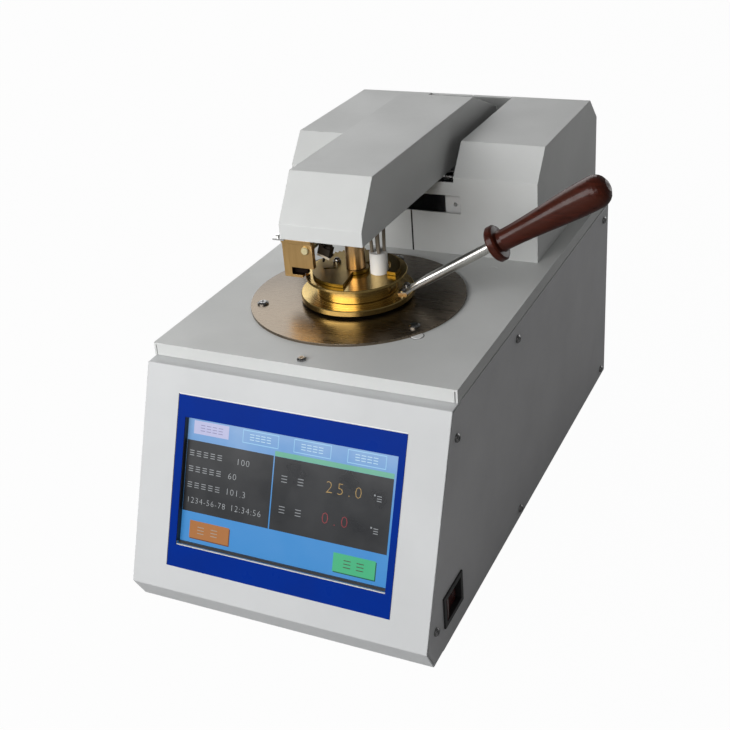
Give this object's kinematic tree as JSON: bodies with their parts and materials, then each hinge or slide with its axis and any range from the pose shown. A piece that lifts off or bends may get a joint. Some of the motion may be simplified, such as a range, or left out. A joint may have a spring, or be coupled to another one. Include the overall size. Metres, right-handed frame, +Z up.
{
  "type": "flash point tester",
  "caption": "Bench closed-cup flash point tester: sloping touch screen, heated brass cup with a side handle, and a motor-raised arm with lid, stirrer, shutter and igniter.",
  "frame": {"origin": "on the bench, under the middle of the whole instrument's outer box", "axes": "+Z up, +Y towards the back, +X towards the side with the handle and the switch"},
  "size_m": [0.2818, 0.4285, 0.2775],
  "materials": {
    "casing_paint": "fine textured powder coat",
    "panel_paint": "fine textured powder coat",
    "side_paint": "fine textured powder coat",
    "bezel_blue": "satin",
    "screen_glass": "glossy",
    "board_green": "satin",
    "black_plastic": "satin",
    "rocker_red": "glossy",
    "rubber": "matte",
    "zinc": "zinc plated",
    "steel": "polished",
    "drip_steel": "brushed",
    "brass": "turned",
    "bronze": "machined",
    "heater_metal": "heat darkened",
    "insulation": "matte",
    "ceramic_white": "satin",
    "motor_metal": "satin",
    "grip_wood": "varnished",
    "lead_wire": "braided sleeve",
    "fan_plastic": "satin"
  },
  "bodies": {
    "case": {"base_tray": "zinc", "rubber_feet": "rubber", "front_panel": "panel_paint", "side_panel_left": "side_paint", "side_panel_right": "side_paint", "rear_panel": "side_paint", "top_cover": "casing_paint", "cover_plugs": "ceramic_white", "tower_cover_left": "casing_paint", "tower_cover_right": "casing_paint", "case_screws": "steel", "display_bezel": "bezel_blue", "touch_screen": "screen_glass", "display_module": "black_plastic", "control_board": "board_green", "power_supply": "zinc", "switch_housing": "black_plastic", "mains_inlet": "black_plastic", "fan_frame": "fan_plastic", "fan_guard": "steel", "rear_screws": "steel", "drip_plate": "drip_steel", "drip_plate_screws": "steel", "insulating_ring": "insulation", "heater_block": "heater_metal", "heater_band": "zinc", "insulation_sleeve": "insulation", "heater_jacket": "zinc", "test_cup": "brass", "handle_rod": "steel", "handle_screws": "steel", "handle_grip": "grip_wood", "hinge_bracket_left": "zinc", "hinge_bracket_right": "zinc", "hinge_bushes": "bronze", "bracket_screws": "steel", "lift_motor": "motor_metal", "limit_switch": "ceramic_white"},
    "head": {"arm_cover": "casing_paint", "arm_frame": "zinc", "hinge_shaft": "steel", "lift_gear": "bronze", "cup_lid": "brass", "lid_column": "brass", "stirrer_motor": "motor_metal", "shutter_motor": "motor_metal", "brass_bracket": "brass", "earth_tab": "steel", "probe_sleeve": "ceramic_white", "temperature_probe": "steel", "probe_leads": "lead_wire"},
    "lift_drive": {"lift_pinion": "bronze"},
    "paddles": {"stirrer": "steel"},
    "shutter": {"shutter_plate": "brass", "shutter_screw": "steel"},
    "shutter_drive": {"shutter_pinion": "bronze"},
    "igniter": {"igniter_arm": "brass", "igniter_shaft": "brass"},
    "rocker": {"switch_rocker": "rocker_red"},
    "fan": {"fan_rotor": "fan_plastic"}
  },
  "joints": [
    {"name": "arm_lift", "type": "hinge", "parent": "case", "child": "head", "pos_m": [-0.03407, 0.148, 0.202], "axis": [-1, 0, 0], "range_deg": [0, 38]},
    {"name": "lift_pinion_spin", "type": "hinge", "parent": "case", "child": "lift_drive", "pos_m": [0.00393, 0.1188, 0.202], "axis": [-1, 0, 0], "range_deg": [-120, 0]},
    {"name": "stirrer_spin", "type": "hinge", "parent": "head", "child": "paddles", "pos_m": [-0.03407, -0.0394, 0.19], "axis": [0, 0, 1], "continuous": true},
    {"name": "shutter_turn", "type": "hinge", "parent": "head", "child": "shutter", "pos_m": [-0.03407, -0.0394, 0.1978], "axis": [0, 0, -1], "range_deg": [0, 18]},
    {"name": "shutter_pinion_spin", "type": "hinge", "parent": "head", "child": "shutter_drive", "pos_m": [-0.05022, -0.00478, 0.198], "axis": [0, 0, -1], "range_deg": [-120, 0]},
    {"name": "igniter_swing", "type": "hinge", "parent": "head", "child": "igniter", "pos_m": [-0.06227, -0.0394, 0.217], "axis": [0, -1, 0], "range_deg": [0, 18]},
    {"name": "power_switch", "type": "hinge", "parent": "case", "child": "rocker", "pos_m": [0.07693, -0.1668, 0.034], "axis": [0, 0, 1], "range_deg": [-18, 0]},
    {"name": "fan_spin", "type": "hinge", "parent": "case", "child": "fan", "pos_m": [0.02093, 0.2, 0.094], "axis": [0, 1, 0], "continuous": true}
  ],
  "couplings": [
    {"joint": "lift_pinion_spin", "follows": "arm_lift", "ratio": -3.1429},
    {"joint": "shutter_pinion_spin", "follows": "shutter_turn", "ratio": -6.6},
    {"joint": "igniter_swing", "follows": "shutter_turn", "ratio": 1}
  ]
}
